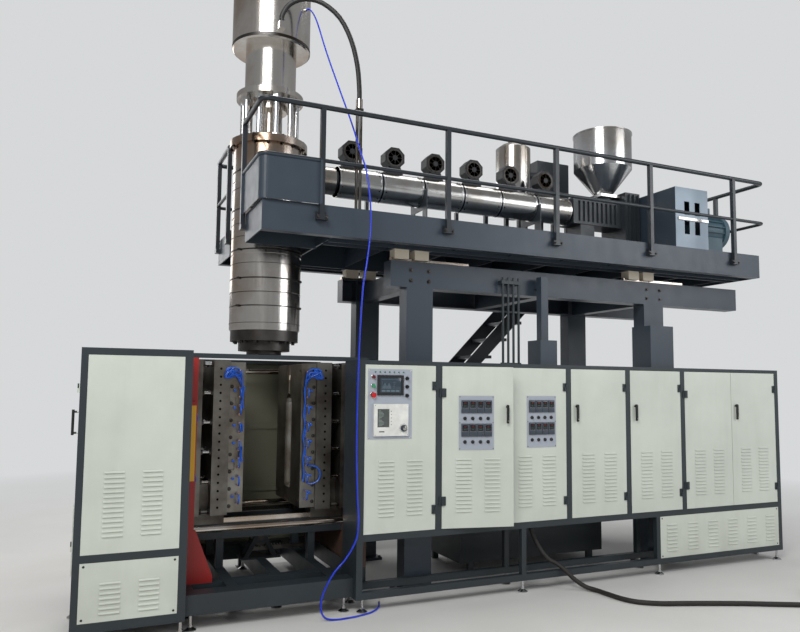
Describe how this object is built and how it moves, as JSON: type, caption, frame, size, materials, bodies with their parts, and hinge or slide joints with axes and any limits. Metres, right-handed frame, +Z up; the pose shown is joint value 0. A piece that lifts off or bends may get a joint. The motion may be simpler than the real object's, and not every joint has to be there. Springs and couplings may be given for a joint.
{
  "type": "blow moulding machine",
  "caption": "Large accumulator blow moulding machine: clamp with mould halves, tall head, extruder on a railed platform, louvred control cabinets.",
  "frame": {"origin": "middle of the machine's length and depth, on the floor, measured without its cords", "axes": "+X along the machine to the extruder's drive end, +Y from the cabinet fronts to the back, +Z up"},
  "size_m": [6.629, 3.906, 5.3116],
  "materials": {
    "dark_paint": "satin",
    "red_paint": "satin",
    "plate_steel": "oiled",
    "yellow_paint": "satin",
    "guard_paint": "satin",
    "white_paint": "semi-gloss",
    "bright_steel": "polished",
    "deck_paint": "satin",
    "cream_paint": "satin",
    "machined_steel": "machined",
    "black_paint": "matt",
    "black_plastic": "matt",
    "grey_panel": "satin",
    "red_plastic": "gloss",
    "green_plastic": "gloss",
    "cable_rubber": "matt",
    "blue_hose": "gloss"
  },
  "bodies": {
    "machine_base": {"clamp_bed": "dark_paint", "left_end_frame": "red_paint", "right_end_frame": "plate_steel", "rods_and_rails": "bright_steel", "clamp_cylinders": "dark_paint", "light_curtain": "yellow_paint", "clamp_guard": "guard_paint", "left_cabinet_frame": "dark_paint", "row_frame": "dark_paint", "louvre_panels": "white_paint", "leveling_feet": "bright_steel", "platform_stand": "deck_paint", "stair": "deck_paint", "hydraulic_unit": "dark_paint", "cable_riser": "deck_paint", "supply_cable": "cable_rubber", "supply_cable_coil": "cable_rubber", "supply_plug": "red_plastic"},
    "platform": {"deck_frame": "deck_paint", "deck_railing": "deck_paint", "bearing_blocks": "cream_paint", "head_drum": "bright_steel", "die_head": "machined_steel", "head_tie_rods": "bright_steel", "injection_cylinder": "bright_steel", "extruder_barrel": "machined_steel", "heater_covers": "bright_steel", "zone_blowers": "black_paint", "hopper": "bright_steel", "material_loader": "deck_paint", "gearbox": "black_paint", "drive_cover": "deck_paint", "drive_motor": "black_paint", "head_hydraulics": "bright_steel", "air_hose": "blue_hose"},
    "ram": {"injection_ram": "bright_steel"},
    "left_clamp": {"left_platen": "plate_steel", "left_mould": "machined_steel"},
    "right_clamp": {"right_platen": "plate_steel", "right_mould": "machined_steel"},
    "gear": {"sync_gear": "machined_steel"},
    "first_door": {"door_1": "white_paint", "operator_panel": "grey_panel", "parison_controller": "white_paint"},
    "second_door": {"door_2": "white_paint", "zone_panel_2": "grey_panel"},
    "third_door": {"door_3": "white_paint", "zone_panel_3": "grey_panel"},
    "fourth_door": {"door_4": "white_paint"},
    "fifth_door": {"door_5": "white_paint"},
    "sixth_door": {"door_6": "white_paint"},
    "seventh_door": {"door_7": "white_paint"},
    "side_door": {"left_side_door": "white_paint"},
    "second_handle": {"handle_2": "black_plastic"},
    "fourth_handle": {"handle_4": "black_plastic"},
    "fifth_handle": {"handle_5": "black_plastic"},
    "seventh_handle": {"handle_7": "black_plastic"},
    "stop": {"stop_button": "red_plastic"},
    "start": {"start_button": "green_plastic"},
    "emergency": {"emergency_button": "red_plastic"}
  },
  "joints": [
    {"name": "platform_travel", "type": "slide", "parent": "machine_base", "child": "platform", "axis": [1, 0, 0], "range_m": [0, 0.35]},
    {"name": "ram_stroke", "type": "slide", "parent": "platform", "child": "ram", "axis": [0, 0, -1], "range_m": [0, 0.25]},
    {"name": "left_clamp_stroke", "type": "slide", "parent": "machine_base", "child": "left_clamp", "axis": [1, 0, 0], "range_m": [0, 0.2348]},
    {"name": "right_clamp_stroke", "type": "slide", "parent": "machine_base", "child": "right_clamp", "axis": [-1, 0, 0], "range_m": [0, 0.2348]},
    {"name": "gear_turn", "type": "hinge", "parent": "machine_base", "child": "gear", "pos_m": [-1.8165, -0.1341, 0.42], "axis": [0, 1, 0], "range_deg": [0, 168.3]},
    {"name": "first_door_swing", "type": "hinge", "parent": "machine_base", "child": "first_door", "pos_m": [-0.6445, -1.1631, 1.2], "axis": [0, 0, 1], "range_deg": [0, 90]},
    {"name": "second_door_swing", "type": "hinge", "parent": "machine_base", "child": "second_door", "pos_m": [-0.5865, -1.1631, 1.2], "axis": [0, 0, -1], "range_deg": [-12, 78]},
    {"name": "third_door_swing", "type": "hinge", "parent": "machine_base", "child": "third_door", "pos_m": [0.6395, -1.1631, 1.2], "axis": [0, 0, 1], "range_deg": [0, 90]},
    {"name": "fourth_door_swing", "type": "hinge", "parent": "machine_base", "child": "fourth_door", "pos_m": [1.3075, -1.1631, 1.2], "axis": [0, 0, 1], "range_deg": [0, 90]},
    {"name": "fifth_door_swing", "type": "hinge", "parent": "machine_base", "child": "fifth_door", "pos_m": [1.9755, -1.1631, 1.2], "axis": [0, 0, 1], "range_deg": [0, 90]},
    {"name": "sixth_door_swing", "type": "hinge", "parent": "machine_base", "child": "sixth_door", "pos_m": [2.0335, -1.1631, 1.2], "axis": [0, 0, -1], "range_deg": [0, 90]},
    {"name": "seventh_door_swing", "type": "hinge", "parent": "machine_base", "child": "seventh_door", "pos_m": [3.2595, -1.1631, 1.2], "axis": [0, 0, 1], "range_deg": [0, 90]},
    {"name": "side_door_swing", "type": "hinge", "parent": "machine_base", "child": "side_door", "pos_m": [-3.2805, -0.4561, 1.1], "axis": [0, 0, -1], "range_deg": [0, 90]},
    {"name": "second_handle_turn", "type": "hinge", "parent": "second_door", "child": "second_handle", "pos_m": [-0.04488, -1.28436, 1.55], "axis": [0.2079, 0.9781, 0], "range_deg": [0, 90]},
    {"name": "fourth_handle_turn", "type": "hinge", "parent": "fourth_door", "child": "fourth_handle", "pos_m": [0.7525, -1.1691, 1.55], "axis": [0, -1, 0], "range_deg": [0, 90]},
    {"name": "fifth_handle_turn", "type": "hinge", "parent": "fifth_door", "child": "fifth_handle", "pos_m": [1.4205, -1.1691, 1.55], "axis": [0, -1, 0], "range_deg": [0, 90]},
    {"name": "seventh_handle_turn", "type": "hinge", "parent": "seventh_door", "child": "seventh_handle", "pos_m": [2.7045, -1.1691, 1.55], "axis": [0, -1, 0], "range_deg": [0, 90]},
    {"name": "stop_press", "type": "slide", "parent": "first_door", "child": "stop", "axis": [0, 1, 0], "range_m": [0, 0.005], "stiffness_N_per_m": 600, "springref_m": -0.002},
    {"name": "start_press", "type": "slide", "parent": "first_door", "child": "start", "axis": [0, 1, 0], "range_m": [0, 0.005], "stiffness_N_per_m": 600, "springref_m": -0.002},
    {"name": "emergency_press", "type": "slide", "parent": "first_door", "child": "emergency", "axis": [0, 1, 0], "range_m": [0, 0.005], "stiffness_N_per_m": 600, "springref_m": -0.002}
  ],
  "couplings": [
    {"joint": "right_clamp_stroke", "follows": "left_clamp_stroke", "ratio": 1},
    {"joint": "gear_turn", "follows": "left_clamp_stroke", "rad_per_m": 12.5}
  ]
}
